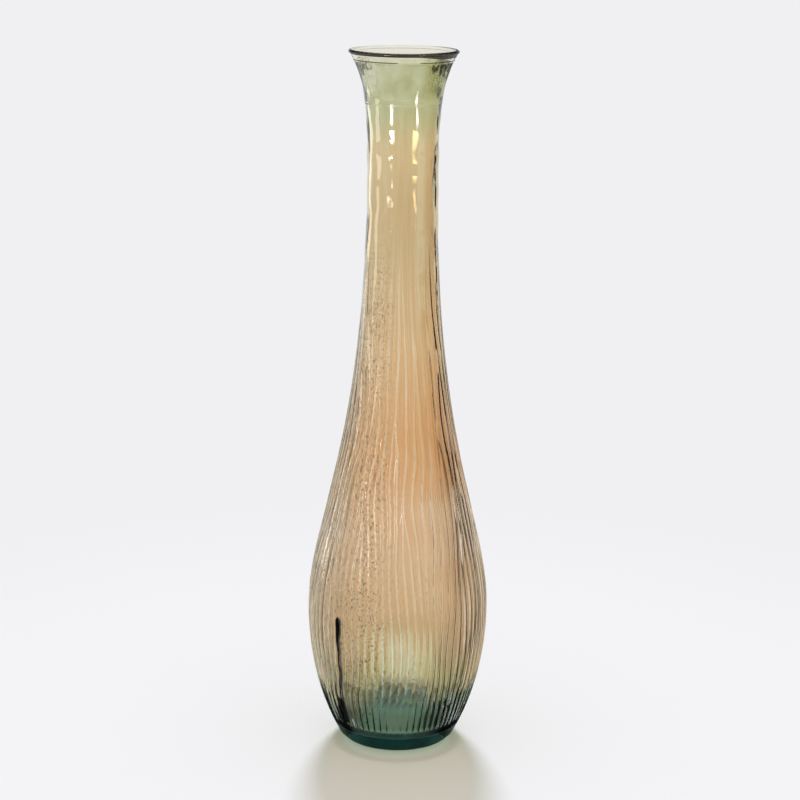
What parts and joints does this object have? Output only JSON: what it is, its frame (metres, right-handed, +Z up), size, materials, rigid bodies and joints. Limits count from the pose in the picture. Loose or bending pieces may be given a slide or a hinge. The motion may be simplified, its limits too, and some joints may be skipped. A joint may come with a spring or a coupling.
{
  "type": "ribbed vase",
  "caption": "Tall slender glass floor vase with forking vertical ribs, a swollen belly, a long narrow neck, a flared mouth and a thick solid base.",
  "frame": {"origin": "centre of the foot, on the surface the vase stands on", "axes": "+Z up along the vase's axis; the front of the picture faces -Y, with +X to its right"},
  "size_m": [0.26, 0.2598, 1],
  "materials": {
    "teal_glass": "clear, deep green-blue where the glass is thick",
    "amber_glass": "clear, with an even amber tint",
    "sage_glass": "clear, pale green with an amber tint",
    "smoky_glass": "fire-polished, dark where it is seen edge on"
  },
  "bodies": {
    "root": {"solid_base": "teal_glass", "ribbed_body": "amber_glass", "flared_collar": "sage_glass", "rolled_lip": "smoky_glass"}
  },
  "joints": []
}
